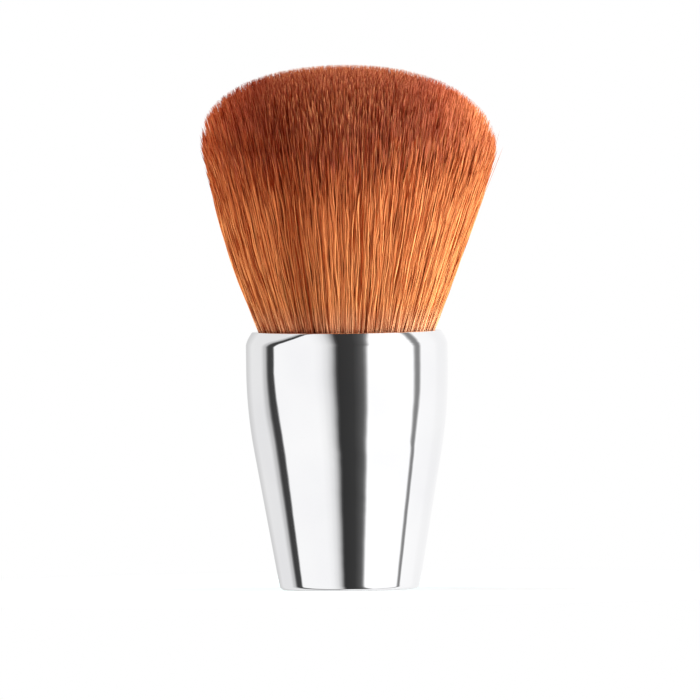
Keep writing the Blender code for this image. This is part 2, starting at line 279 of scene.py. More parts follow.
def lightStudio(s):
    world = bpy.data.worlds.new("studio")
    bpy.context.scene.world = world
    world.use_nodes = True
    tree = world.node_tree
    place = addNode(tree, "ShaderNodeTexCoord")
    axes = addNode(tree, "ShaderNodeSeparateXYZ", {0: place.outputs["Generated"]})
    fromFront = addNode(tree, "ShaderNodeMapRange", {"Value": axes.outputs["Y"], "From Min": -1.0,
                        "From Max": 1.0})
    left = addNode(tree, "ShaderNodeValToRGB", {"Fac": fromFront.outputs[0]}, stops=s["leftPanel"])
    right = addNode(tree, "ShaderNodeValToRGB", {"Fac": fromFront.outputs[0]}, stops=s["rightPanel"])
    side = addNode(tree, "ShaderNodeMapRange", {"Value": axes.outputs["X"], "From Min": -s["seam"],
                   "From Max": s["seam"]})
    colour = addNode(tree, "ShaderNodeMix", {"Factor": side.outputs[0], 6: left.outputs["Color"],
                     7: right.outputs["Color"]}, data_type="RGBA").outputs[2]
    for name in ("slot", "leftGap", "rightGap"):
        mask, tone = gapTones(tree, axes, s[name], s["fade"])
        colour = addNode(tree, "ShaderNodeMix", {"Factor": mask, 6: colour, 7: tone},
                         data_type="RGBA").outputs[2]
    mirrored = addNode(tree, "ShaderNodeVectorMath", {0: colour, "Scale": s["gain"]}, operation="SCALE")
    # the level on matt surfaces changes smoothly from the front to the back
    level = addNode(tree, "ShaderNodeMapRange", {"Value": axes.outputs["Y"], "From Min": -1.0,
                    "From Max": 1.0, "To Min": s["front"], "To Max": s["back"]},
                    interpolation_type="SMOOTHSTEP")
    matt = addNode(tree, "ShaderNodeVectorMath", {0: linearColour(s["warmth"])[:3],
                   "Scale": level.outputs[0]}, operation="SCALE")
    path = addNode(tree, "ShaderNodeLightPath")
    room = addNode(tree, "ShaderNodeMix", {"Factor": path.outputs["Is Glossy Ray"], 6: matt.outputs[0],
                   7: mirrored.outputs[0]}, data_type="RGBA")
    seen = addNode(tree, "ShaderNodeMix", {"Factor": path.outputs["Is Camera Ray"], 6: room.outputs[2],
                   7: linearColour(s["background"])}, data_type="RGBA")
    tree.links.new(seen.outputs[2], tree.nodes["Background"].inputs["Color"])


lightStudio(studio)

# Lamps: one broad cool key from the right, and a weaker one from the left, a little behind and above, which
# gives that edge its pale rim. The chrome doesn't mirror them, because the studio's panels stand there.
aimHeight = 50.0           # the lamps point at the brush's axis, this far above the foot
lamps = {
    "key": {"azimuth": 76, "elevation": 14, "distance": 900, "wide": 700, "high": 500, "watts": 31.0,
            "colour": "#CFF6FF"},
    "rim": {"azimuth": -112, "elevation": 32, "distance": 900, "wide": 600, "high": 450, "watts": 18.0,
            "colour": "#CCFFFF"},
}


def hangLamps(rows):
    for name, row in rows.items():
        a, e = math.radians(row["azimuth"]), math.radians(row["elevation"])
        back = np.array([math.sin(a) * math.cos(e), -math.cos(a) * math.cos(e), math.sin(e)])
        right = np.array([math.cos(a), math.sin(a), 0])
        up = np.cross(back, right)
        place = (back * row["distance"] + np.array([0, 0, aimHeight])) * mm
        data = bpy.data.lights.new(name, "AREA")
        data.shape = "RECTANGLE"
        data.size, data.size_y = row["wide"] * mm, row["high"] * mm
        data.energy = row["watts"]
        data.color = linearColour(row["colour"])[:3]
        thing = bpy.data.objects.new(name, data)
        thing.matrix_world = axesMatrix(right, up, back, place)
        thing.visible_glossy = False
        bpy.context.scene.collection.objects.link(thing)


hangLamps(lamps)

# Floor: the camera sees shadowShare of the card's own shading near the brush and plain white far from it
floorSheet = {"radius": 3000, "top": -0.05, "underside": -1.0, "steps": 96, "sharpAngle": 30,
              "colour": "#E8E8E6", "shadowShare": 0.6, "near": 25, "far": 80}


def layFloor(f):
    # a flat disc of white card just under the foot
    top, underside = f["top"], f["underside"]
    outline = [(0, top), (f["near"], top), (f["far"], top), (f["radius"], top), (f["radius"], underside),
               (0, underside)]
    disc = revolve("floorSheet", outline, f["steps"], False, f["sharpAngle"])
    material, tree, shader = newMaterial("whiteCardSweep", Roughness=0.9, Specular_IOR_Level=0.0)
    shader.inputs["Base Color"].default_value = linearColour(f["colour"])
    place = addNode(tree, "ShaderNodeTexCoord")
    away = addNode(tree, "ShaderNodeVectorMath", {0: place.outputs["Object"]}, operation="LENGTH")
    share = addNode(tree, "ShaderNodeMapRange", {"Value": away.outputs["Value"], "From Min": f["near"] * mm,
                    "From Max": f["far"] * mm, "To Min": 1 - f["shadowShare"]},
                    interpolation_type="SMOOTHSTEP")
    path = addNode(tree, "ShaderNodeLightPath")
    seen = addNode(tree, "ShaderNodeMath", {0: share.outputs[0], 1: path.outputs["Is Camera Ray"]},
                   operation="MULTIPLY")
    glow = addNode(tree, "ShaderNodeEmission")
    mix = addNode(tree, "ShaderNodeMixShader", {"Fac": seen.outputs[0], 1: shader.outputs[0],
                  2: glow.outputs[0]})
    tree.links.new(mix.outputs[0], tree.nodes["Material Output"].inputs["Surface"])
    disc.data.materials.append(material)
    disc.visible_glossy = False


layFloor(floorSheet)
print("studio, lamps and floor set")


# Handle shell: bright nickel-chrome plate over a turned brass or aluminium tube, buffed to a mirror.
# The outline is the CAD's own, drawn finer, with the shoulder's curve eased as it rolls in to the lip.
handle = {
    "rimHeight": 37.0, "bodyRadius": 14.5, "footRadius": 10.0, "kneeDrop": 11.3, "blend": 12.0,
    "wall": 0.9, "shoulderDrop": 2.0, "shoulderRoll": 0.84, "shoulderPower": 1.55,
    "lipRadius": 0.28, "mouthRadius": 12.75, "lipRound": 0.15, "lipLand": 0.75,
    "footRound": 0.6, "footLand": 2.25, "footWall": 0.9,
    "steps": 288, "bodyPoints": 90, "shoulderPoints": 22, "lipPoints": 8, "roundPoints": 6,
    "footPoints": 14, "footGap": 0.2, "insidePoints": 24, "sharpAngle": 40,
}


def bodyRadius(height, h):
    # a cone from the foot, a parabola of length blend about the knee, then a cylinder
    knee = h["rimHeight"] - h["kneeDrop"]
    taper = (h["bodyRadius"] - h["footRadius"]) / knee
    left = np.clip(knee + h["blend"] / 2 - height, 0, None)
    bend = h["bodyRadius"] - taper * left ** 2 / (2 * h["blend"])
    return np.where(left >= h["blend"], h["footRadius"] + taper * height, bend)


def handleOutline(h):
    # down the outside from the mouth, round the foot, and up the inside again
    rim, mouth = h["rimHeight"], h["mouthRadius"]
    shoulder = rim - h["shoulderDrop"]
    x = np.linspace(1, 0, h["shoulderPoints"])
    rise = h["shoulderDrop"] - h["lipRadius"] / 2    # the curve ends half way up the lip's own arc
    shoulderCurve = np.stack([h["bodyRadius"] - h["shoulderRoll"] * x ** h["shoulderPower"],
                              shoulder + rise * x], 1)
    slope = math.degrees(math.atan(rise / (h["shoulderRoll"] * h["shoulderPower"])))
    lipStart = 90 - slope
    top = shoulderCurve[0]
    lipCentre = (top[0] - h["lipRadius"] * math.cos(math.radians(lipStart)),
                 top[1] - h["lipRadius"] * math.sin(math.radians(lipStart)))
    lift = rim - (lipCentre[1] + h["lipRadius"])
    lipArc = arcPoints(lipCentre, h["lipRadius"], 90, lipStart, h["lipPoints"])[:-1]
    innerCentre = (mouth + h["lipRound"], lipCentre[1] + h["lipRadius"] - h["lipRound"])
    inner = arcPoints(innerCentre, h["lipRound"], 180, 90, h["roundPoints"])
    inner[:, 1] += lift
    lipArc[:, 1] += lift
    shoulderCurve[:, 1] += lift * x
    taper = (h["bodyRadius"] - h["footRadius"]) / (rim - h["kneeDrop"])
    footSlope = math.degrees(math.atan(taper))
    reach = h["footRound"] * math.tan(math.radians(90 - footSlope) / 2)
    footCentre = (h["footRadius"] - reach, h["footRound"])
    foot = arcPoints(footCentre, h["footRound"], -footSlope, -90, h["footPoints"])
    heights = np.linspace(shoulder, foot[0, 1] + h["footGap"], h["bodyPoints"])[1:]
    body = np.stack([bodyRadius(heights, h), heights], 1)
    opening = h["footRadius"] - h["footLand"]
    bore = h["bodyRadius"] - h["wall"]
    neck = rim - h["lipLand"] - (bore - mouth)
    insideHeights = np.linspace(h["footWall"], neck, h["insidePoints"])
    inside = np.stack([bodyRadius(insideHeights, h) - h["wall"], insideHeights], 1)
    turnedIn = np.array([(opening, 0.0), (opening, h["footWall"])])
    mouthWall = np.array([(mouth, rim - h["lipLand"])])
    return np.concatenate([inner, lipArc, shoulderCurve, body, foot, turnedIn, inside, mouthWall])


def chromePlate():
    # bright chrome, buffed: a neutral mirror with a faint haze and the least waver in its reflections
    material, tree, shader = newMaterial("buffedChromePlate", Metallic=1.0)
    place = addNode(tree, "ShaderNodeTexCoord").outputs["Object"]
    # buffing lines run round the handle, 0.05 mm apart in the real finish and drawn at 0.25 mm to show
    stretch = addNode(tree, "ShaderNodeMapping", {"Vector": place, "Scale": (120, 120, 1 / (0.25 * mm))})
    lines = addNode(tree, "ShaderNodeTexNoise", {"Vector": stretch.outputs[0], "Scale": 1.0, "Detail": 3.0})
    haze = addNode(tree, "ShaderNodeMapRange", {"Value": lines.outputs["Fac"], "From Min": 0.3,
                   "From Max": 0.7, "To Min": 0.03, "To Max": 0.06})
    tree.links.new(haze.outputs[0], shader.inputs["Roughness"])
    cloud = addNode(tree, "ShaderNodeTexNoise", {"Vector": place, "Scale": 90.0, "Detail": 2.0})
    colour = addNode(tree, "ShaderNodeValToRGB", {"Fac": cloud.outputs["Fac"]},
                     stops=[(0.3, "#EEEEF0"), (0.7, "#F3F3F4")])
    tree.links.new(colour.outputs[0], shader.inputs["Base Color"])
    # long low waves left by the buffing wheel, about 3 mm from crest to crest
    waves = addNode(tree, "ShaderNodeTexNoise", {"Vector": place, "Scale": 330.0, "Detail": 1.0})
    bump = addNode(tree, "ShaderNodeBump", {"Height": waves.outputs["Fac"], "Strength": 0.02,
                   "Distance": 0.5 * mm})
    tree.links.new(bump.outputs[0], shader.inputs["Normal"])
    return material


handleShell = revolve("handleShell", handleOutline(handle), handle["steps"], True, handle["sharpAngle"])
handleShell.data.materials.append(chromePlate())
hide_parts("handle_shell")
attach(handleShell, "root")
print("handle shell turned:", len(handleShell.data.polygons), "faces")


# Sealed pieces and the foot disc: the CAD's own shapes, each with a material of its own
def dress(node, material):
    # gives one of the CAD's own nodes its material
    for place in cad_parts[node].material_slots:
        place.link = "OBJECT"
        place.material = material


def turnedMetal(name, pitch, marks, roughness, alongAxis):
    # lathe marks: fine rings about Z, each a little lighter or rougher than the next; pitch is in mm
    material, tree, shader = newMaterial(name, Metallic=1.0)
    place = addNode(tree, "ShaderNodeTexCoord").outputs["Object"]
    axes = addNode(tree, "ShaderNodeSeparateXYZ", {0: place})
    flat = addNode(tree, "ShaderNodeCombineXYZ", {"X": axes.outputs["X"], "Y": axes.outputs["Y"]})
    away = addNode(tree, "ShaderNodeVectorMath", {0: flat.outputs[0]}, operation="LENGTH")
    travel = axes.outputs["Z"] if alongAxis else away.outputs["Value"]
    rings = addNode(tree, "ShaderNodeTexNoise", {"W": travel, "Scale": 1 / (pitch * mm), "Detail": 2.0},
                    noise_dimensions="1D")
    colour = addNode(tree, "ShaderNodeValToRGB", {"Fac": rings.outputs["Fac"]},
                     stops=[(0.3, marks[0]), (0.7, marks[1])])
    rough = addNode(tree, "ShaderNodeMapRange", {"Value": rings.outputs["Fac"], "From Min": 0.3,
                    "From Max": 0.7, "To Min": roughness[0], "To Max": roughness[1]})
    bump = addNode(tree, "ShaderNodeBump", {"Height": rings.outputs["Fac"], "Strength": 0.3,
                   "Distance": 0.02 * mm})
    tree.links.new(colour.outputs[0], shader.inputs["Base Color"])
    tree.links.new(rough.outputs[0], shader.inputs["Roughness"])
    tree.links.new(bump.outputs[0], shader.inputs["Normal"])
    return material


def castPlastic(name, tones, grain, roughness, depth):
    # moulded or poured plastic: soft clouds in its colour and a shallow grain; grain and depth are in mm
    material, tree, shader = newMaterial(name, Roughness=roughness, IOR=1.5)
    place = addNode(tree, "ShaderNodeTexCoord").outputs["Object"]
    clouds = addNode(tree, "ShaderNodeTexNoise", {"Vector": place, "Scale": 1 / (2.5 * mm), "Detail": 3.0})
    colour = addNode(tree, "ShaderNodeValToRGB", {"Fac": clouds.outputs["Fac"]},
                     stops=[(0.3, tones[0]), (0.7, tones[1])])
    texture = addNode(tree, "ShaderNodeTexNoise", {"Vector": place, "Scale": 1 / (grain * mm), "Detail": 1.0})
    bump = addNode(tree, "ShaderNodeBump", {"Height": texture.outputs["Fac"], "Strength": 0.4,
                   "Distance": depth * mm})
    tree.links.new(colour.outputs[0], shader.inputs["Base Color"])
    tree.links.new(bump.outputs[0], shader.inputs["Normal"])
    return material


# the foot plate is faced on a lathe, the weight is turned bar, and the ring is cut from drawn tube
dress("foot_disc", turnedMetal("facedStainlessSteel", 0.16, ("#B2B2B4", "#D2D2D3"), (0.24, 0.38), False))
dress("ballast_slug", turnedMetal("turnedMildSteel", 0.25, ("#6E6E70", "#8C8C8D"), (0.35, 0.5), True))
dress("knot_ring", turnedMetal("drawnAluminiumTube", 0.12, ("#B8B8BA", "#D0D0D2"), (0.3, 0.42), True))
# the adhesives set with a skin that waves a little, the plug has a spark-eroded grain, the resin is clouded
curedAdhesive = castPlastic("curedEpoxyAdhesive", ("#CFC3A6", "#DDD4BE"), 1.2, 0.25, 0.05)
dress("foot_adhesive", curedAdhesive)
dress("knot_adhesive", curedAdhesive)
dress("core_plug", castPlastic("mouldedBlackNylon", ("#1A1A1C", "#232325"), 0.2, 0.55, 0.02))
dress("knot_resin", castPlastic("castAmberResin", ("#6A4320", "#8C5C30"), 2.0, 0.15, 0.03))
print("inner pieces finished")


# Tuft: its form first. Heights are above the foot, angles are from +X, and a share is of the side's radius.
tuft = {
    "rimHeight": 37.0, "mouthRadius": 12.6,
    "headRadius": 21.2, "flareHeight": 27.5, "flarePower": 1.3, "straightFrom": 60.0,
    "fullness": 0.75, "fullFrom": 45.0, "fullTo": 63.0,     # the right side is fuller than the left
    "edgeHeight": 64.0, "edgeDip": 1.3, "apex": 75.3, "domePower": 2.15,
    "splay": 0.04, "splayFrom": 53.0, "splayTo": 67.0,      # strands lean out more than the side does
    "trimFrom": 52.0, "widestShare": 1.0035,                # the trim lies above and within these
    "colourLength": 36.0,                                   # mm of strand that the colour map covers
    "stripWidth": 0.003,                                    # what one strand takes of the map's width
    "alongRange": (0.02, 0.998), "toneRange": (0.002, 0.994),
    # painted rim light: the left and right edges of the head are lightened
    # painted shade and rim light: the dye band dips at one place and is thinned at both sides
    "paintedRimLight": 0.45, "paintedDyeShading": 0.02, "shadeDipAngle": 4.2, "rimLightThinning": 0.075,
    # painted shade: a darker stripe of strands at one place round the head
    "shadeStripeDepth": 0.26, "shadeStripeAngle": 4.22, "shadeStripeWidth": 0.16,
    "sectors": 10, "seed": 11,
}


def sideRadius(height, angle, t):
    # r = mouth + (head - mouth)(1 - (1 - u)^1.3), u being the share of the flare's height, then straight on
    # along the tangent; and from mid height up a little more towards +X. Under the rim u falls below 0
    power = t["flarePower"]
    u = np.clip((np.minimum(height, t["straightFrom"]) - t["rimHeight"]) / t["flareHeight"], -0.05, 1)
    slope = power * (1 - u) ** (power - 1) / t["flareHeight"]
    flare = 1 - (1 - u) ** power + slope * np.clip(height - t["straightFrom"], 0, None)
    lean = t["fullness"] * np.cos(angle) * smoothStep(height, t["fullFrom"], t["fullTo"])
    return t["mouthRadius"] + (t["headRadius"] - t["mouthRadius"]) * flare + lean


def domeRadius(height, angle, t):
    # r = head (1 - w^2.15)^(1 / 2.15), w being the share of the height from the dome's edge to its apex
    edge, power = t["edgeHeight"] - t["edgeDip"] * np.cos(angle), t["domePower"]
    w = np.clip((height - edge) / (t["apex"] - edge), 0, 1)
    return (t["headRadius"] + t["fullness"] * np.cos(angle)) * (1 - w ** power) ** (1 / power)


def splayed(share, height, t):
    return share + t["splay"] * smoothStep(height, t["splayFrom"], t["splayTo"])


def trimHeight(share, angle, t, leaning=False):
    # where a strand at this share of the side's radius leaves the head, found by halving 24 times: through
    # the dome, or, where it leans out, through the side
    low = np.full(share.shape, t["trimFrom"])
    high = np.full(share.shape, t["apex"])
    for _ in range(24):
        middle = (low + high) / 2
        now = splayed(share, middle, t) if leaning else share
        outside = now * sideRadius(middle, angle, t) > domeRadius(middle, angle, t)
        outside = outside | (now > t["widestShare"])
        high = np.where(outside, middle, high)
        low = np.where(outside, low, middle)
    return low


def towardsEdge(angle):
    # 1 at the left and the right of the head, falling to 0 at its front and back
    return np.abs(np.cos(angle)) ** 3


def paintedDyeShading(angle, t):
    # painted shade and painted rim light in the dye band: the dark band reaches lowest at one place round the
    # head, where shade falls between the two lamps, and is thinner at both sides, which paints a paler rim
    # there
    return t["paintedDyeShading"] * np.cos(angle - t["shadeDipAngle"]) - t["rimLightThinning"] * towardsEdge(angle)


def paintedShadeStripe(angle, t):
    # painted shade: how much darker the strands stand in one stripe round the head, where shade falls between
    # the two lamps: depth exp(-((a - middle) / width)^2)
    return t["shadeStripeDepth"] * np.exp(-((angle % turn - t["shadeStripeAngle"]) / t["shadeStripeWidth"]) ** 2)


# Core: the mass behind the strands, drawn here in place of the imported tuft
coreMass = {
    "share": 0.88, "rootShare": 0.955, "narrowing": (38.0, 43.0),    # heights over which it is drawn in
    "rootDepth": 1.5, "sideTop": 60.0, "drop": 6.0, "seam": 0.3,
    "steps": 96, "sideRings": 32, "topRings": 24, "middle": 0.02, "bunching": 0.6,
    "palest": 38.5, "deepest": 52.0,                                 # heights between which its colour turns
}


def tuftCore(t, c):
    # the same form as the strands', drawn in and lowered, and full again at the root
    angle = (np.arange(c["steps"]) * turn / c["steps"])[None, :]
    root = t["rimHeight"] - c["rootDepth"]
    up = np.linspace(root, c["sideTop"], c["sideRings"])[:, None]
    inset = c["rootShare"] + (c["share"] - c["rootShare"]) * smoothStep(up, *c["narrowing"])
    side = np.stack(np.broadcast_arrays(sideRadius(up, angle, t) * inset, up), 2)
    inward = np.linspace(1, c["middle"], c["topRings"])[:, None] ** c["bunching"]
    share = inward * np.ones((1, c["steps"])) * c["share"]
    height = trimHeight(share, angle + 0 * share, t) - c["drop"]
    top = np.stack([share * sideRadius(height, angle, t), height], 2)
    both = np.concatenate([side[side[:, 0, 1] < top[0, :, 1].min() - c["seam"]], top])[::-1]
    grid = np.stack([both[..., 0] * np.cos(angle), both[..., 0] * np.sin(angle), both[..., 1]], 2)
    poles = np.array([[0, 0, t["apex"] - c["drop"]], [0, 0, root]])
    return closeGrid("tuftCore", grid * mm, poles * mm)


def packedRoots(c):
    # the mass of filament behind the outer strands, streaked upwards, coloured with painted shade: a
    # near-black red-brown where the strands stand deep over it, and paler towards the mouth, where they are
    # bound tight
    material, tree, shader = newMaterial("packedFilament", Roughness=0.8, Specular_IOR_Level=0.1)
    place = addNode(tree, "ShaderNodeTexCoord").outputs["Object"]
    # the streaks are 0.4 mm wide and about 7 mm long
    stretch = addNode(tree, "ShaderNodeMapping", {"Vector": place, "Scale": (2500, 2500, 150)})
    streaks = addNode(tree, "ShaderNodeTexNoise", {"Vector": stretch.outputs[0], "Scale": 1.0, "Detail": 2.0})
    # painted shade: the near-black red-brown of the tuft's depths
    deepShade = addNode(tree, "ShaderNodeValToRGB", {"Fac": streaks.outputs["Fac"]},
                   stops=[(0.35, "#3C0E02"), (0.7, "#702408")])
    pale = addNode(tree, "ShaderNodeValToRGB", {"Fac": streaks.outputs["Fac"]},
                   stops=[(0.35, "#A8502C"), (0.7, "#DA8C64")])
    axes = addNode(tree, "ShaderNodeSeparateXYZ", {0: place})
    risen = addNode(tree, "ShaderNodeMapRange", {"Value": axes.outputs["Z"], "From Min": c["palest"] * mm,
                    "From Max": c["deepest"] * mm})
    colour = addNode(tree, "ShaderNodeMix", {"Factor": risen.outputs[0], 6: pale.outputs["Color"],
                     7: deepShade.outputs["Color"]}, data_type="RGBA")
    tree.links.new(colour.outputs[2], shader.inputs["Base Color"])
    return material


# Side hair: the outer layers, full length from the mouth to the trim, gathered into narrow locks. A pair is
# the ends of an even spread, or the heights over which something sets in. lockMix, lockShare, and the
# tones and shifts by strand (own) and by lock are the widths of normal spreads.
sideHair = {
    "count": 6200, "rings": 17, "ringPower": 0.9, "rootDepth": 1.0,
    "locks": 280, "lockScatter": 0.4, "lockMix": 0.25,
    "share": 0.925, "sharePower": 1.1, "lockShare": 0.004, "lockEdge": 0.006, "shareTop": 1.002,
    "drop": 1.35, "dropLift": 0.55, "dropEven": (-0.06, 0.06), "loose": 0.8, "lowestTip": 46.0,
    "lean": 0.34, "leanPower": 1.2, "wave": 0.045, "waveLength": (5.0, 10.0),
    "lockWave": 0.11, "lockWaveLength": (9, 17), "pull": 0.40, "pullWave": 0.27, "pullRise": 6,
    "standOff": (0.1, 0.45), "standOffShare": 0.12, "standOffRise": (57, 65),
    "radius": 0.061, "thickness": (0.65, 1.4), "taperLength": 1.8, "taperPower": 0.7, "taperEnd": 0.1,
    # painted shade: strands lying deeper under the outer ones are toned darker
    "tone": 0.62, "lockTone": 0.10, "ownTone": 0.37, "depthShade": 3.6,
    # painted glints: the tone waves along each strand
    # painted rim light: strands are lighter near the top at the left and the right
    "paintedGlint": 0.08, "paintedGlintLength": (4.0, 9.0), "rimLightShare": 0.7, "rimLightRise": (60, 65),
    "rootAlong": 0.25, "trimLowest": 64.5, "mapRise": (50, 62),
    "ownShift": 0.042, "lockShift": 0.025, "shiftRise": (45, 55),
}


def sideStrands(draw, t, s):
    # Radius: share x the side's own. Angle: lean s^1.2 + own wave + lock wave + a pull to the lock's middle.
    # Near the mouth the colour map's low end is stretched, so that every strand is as pale at its root
    count, locks = s["count"], s["locks"]
    step = np.linspace(0, 1, s["rings"])[None, :]
    angle = (np.arange(count) + draw.uniform(0, 1, count)) * turn / count
    lockAngle = (np.arange(locks) + draw.uniform(-s["lockScatter"], s["lockScatter"], locks)) * turn / locks
    lock = np.round(angle / turn * locks + draw.normal(0, s["lockMix"], count)).astype(int) % locks
    gap = (lockAngle[lock] - angle + math.pi) % turn - math.pi
    share = 1 - (1 - s["share"]) * draw.uniform(0, 1, count) ** s["sharePower"]
    share = share + draw.normal(0, s["lockShare"], locks)[lock] - s["lockEdge"] * (gap * locks / turn) ** 2
    share = np.minimum(share, s["shareTop"])
    fullHeight = trimHeight(share, angle, t, leaning=True)
    drop = s["drop"] * draw.exponential(1.0, count) - s["dropLift"]
    drop = np.maximum(drop, draw.uniform(*s["dropEven"], count))
    tipHeight = np.maximum(fullHeight - drop * s["loose"], s["lowestTip"])
    rootHeight = t["rimHeight"] - s["rootDepth"]
    height = rootHeight + (tipHeight[:, None] - rootHeight) * step ** s["ringPower"]
    radius = sideRadius(height, angle[:, None], t) * splayed(share[:, None], height, t)
    phase = draw.uniform(0, turn, (4, count))[:, :, None]    # the fourth row is spare
    length = draw.uniform(*s["waveLength"], (2, count))[:, :, None]
    lockPhase = draw.uniform(0, turn, (2, locks))[:, lock][:, :, None]
    lockLength = draw.uniform(*s["lockWaveLength"], (2, locks))[:, lock][:, :, None]
    slide = s["lean"] * draw.normal(0, 1, count)[:, None] * step ** s["leanPower"]
    slide = slide + s["wave"] * np.sin(turn * height / length[0] + phase[0])
    slide = slide + s["lockWave"] * np.sin(turn * height / lockLength[0] + lockPhase[0])
    pull = s["pull"] + s["pullWave"] * np.sin(turn * height / lockLength[1] + lockPhase[1])
    pull = pull * np.clip(step * s["pullRise"], 0, 1)
    slide = slide + gap[:, None] * radius * pull
    radius = radius + s["wave"] * np.sin(turn * height / length[1] + phase[1])
    # a few tips stand off the side
    off = draw.uniform(*s["standOff"], count) * (draw.uniform(0, 1, count) < s["standOffShare"])
    radius = radius + off[:, None] * smoothStep(height, *s["standOffRise"])
    bent = angle[:, None] + slide / radius
    centres = np.stack([radius * np.cos(bent), radius * np.sin(bent), height], 2)
    taper = np.clip((tipHeight[:, None] - height) / s["taperLength"], 0, 1) ** s["taperPower"]
    taper = taper * (1 - s["taperEnd"]) + s["taperEnd"]
    radii = s["radius"] * draw.uniform(*s["thickness"], count)[:, None] * taper
    tone = s["tone"] + draw.normal(0, s["lockTone"], locks)[lock] + draw.normal(0, s["ownTone"], count)
    # painted shade: strands lying deeper are toned darker
    # painted shade: the strands are darker in the shade stripe
    tone = tone - (1 - share) * s["depthShade"] - paintedShadeStripe(angle, t)
    # painted glints: the tone rises and falls along a strand, as if crimps caught the light here and there
    paintedGlint = turn * height / draw.uniform(*s["paintedGlintLength"], count)[:, None] + phase[2]
    tone = tone[:, None] + s["paintedGlint"] * np.sin(paintedGlint)
    # painted rim light: strands near the top are lighter at the left and the right of the head
    rim = t["paintedRimLight"] * s["rimLightShare"] * smoothStep(height, *s["rimLightRise"])
    tone = tone + rim * towardsEdge(angle)[:, None]
    trim = np.maximum(fullHeight, s["trimLowest"])[:, None]
    along = 1 - (trim - height) / t["colourLength"]
    rootward = s["rootAlong"] + (1 - s["rootAlong"]) * (height - rootHeight) / (trim - rootHeight)
    along = rootward + (along - rootward) * smoothStep(height, *s["mapRise"])
    shift = draw.normal(0, s["ownShift"], count) + draw.normal(0, s["lockShift"], locks)[lock]
    # painted shade and rim light: the dye band dips where shade falls and thins at both sides
    shift = shift + paintedDyeShading(angle, t)
    along = along + shift[:, None] * smoothStep(height, *s["shiftRise"])
    return centres, angle, radii, tone, along


# Dome hair: the trimmed ends, spread over the head as on a sunflower, each running up from some way below.
# The loose and flick pairs are for the middle and the edge of the head. middle and the rises are shares of
# its radius between which something sets in, and the other pairs are the ends of even spreads.
domeHair = {
    "layers": [
        {"count": 22500, "share": 0.95, "below": 0.0, "loose": (0.9, 2.6), "length": 15.0, "clump": 0.48,
         "steps": [0, 0.40, 0.66, 0.83, 0.945, 1.0], "radii": [0.062, 0.062, 0.062, 0.058, 0.044, 0.010],
         "tone": 0.50, "shift": 0.0},
        # painted shade: the lower layer, which lies under the tips, has a darker tone
        {"count": 14000, "share": 0.93, "below": 3.2, "loose": (0.7, 1.5), "length": 7.0, "clump": 0.5,
         "steps": [0, 0.6, 1.0], "radii": [0.07, 0.065, 0.01], "tone": 0.36, "shift": 0.03},
    ],
    "goldenAngle": 2.399963, "scatter": 0.14, "clumpPull": 0.32, "middle": (0.30, 0.75),
    "drop": 1.4, "dropLift": 0.65, "clumpDrop": 0.15, "dropEven": (-0.05, 0.07),
    "lengthSpread": (0.9, 1.1), "bendPower": 1.5, "opening": 0.06, "wander": 0.25,
    "flick": (0.24, 0.06), "thickness": (0.7, 1.3), "ownTone": 0.34, "clumpTone": 0.24,
    # painted rim light sets in towards the edge over these shares
    "rimLightRise": (0.70, 0.95), "shadeStripeRise": (0.5, 0.9), "dyeShadingRise": (0.4, 0.9), "uneven": (0.70, 1.60),
}


def gather(draw, x, y, cell, strength):
    # pulls each point to the nearest of many scattered centres, one in each square of a turned grid
    size, slant = 160, 0.61
    u = (x * math.cos(slant) - y * math.sin(slant)) / cell + size / 2
    v = (x * math.sin(slant) + y * math.cos(slant)) / cell + size / 2
    centreU = np.arange(size)[:, None] + draw.uniform(0, 1, (size, size))
    centreV = np.arange(size)[None, :] + draw.uniform(0, 1, (size, size))
    best, nearest = np.full(len(x), np.inf), np.zeros(len(x), int)
    for stepU in (-1, 0, 1):
        for stepV in (-1, 0, 1):
            i, j = np.floor(u).astype(int) + stepU, np.floor(v).astype(int) + stepV
            away = (centreU[i, j] - u) ** 2 + (centreV[i, j] - v) ** 2
            nearest = np.where(away < best, i * size + j, nearest)
            best = np.minimum(best, away)
    u = u + (centreU.ravel()[nearest] - u) * strength
    v = v + (centreV.ravel()[nearest] - v) * strength
    u, v = (u - size / 2) * cell, (v - size / 2) * cell
    return u * math.cos(slant) + v * math.sin(slant), v * math.cos(slant) - u * math.sin(slant), nearest


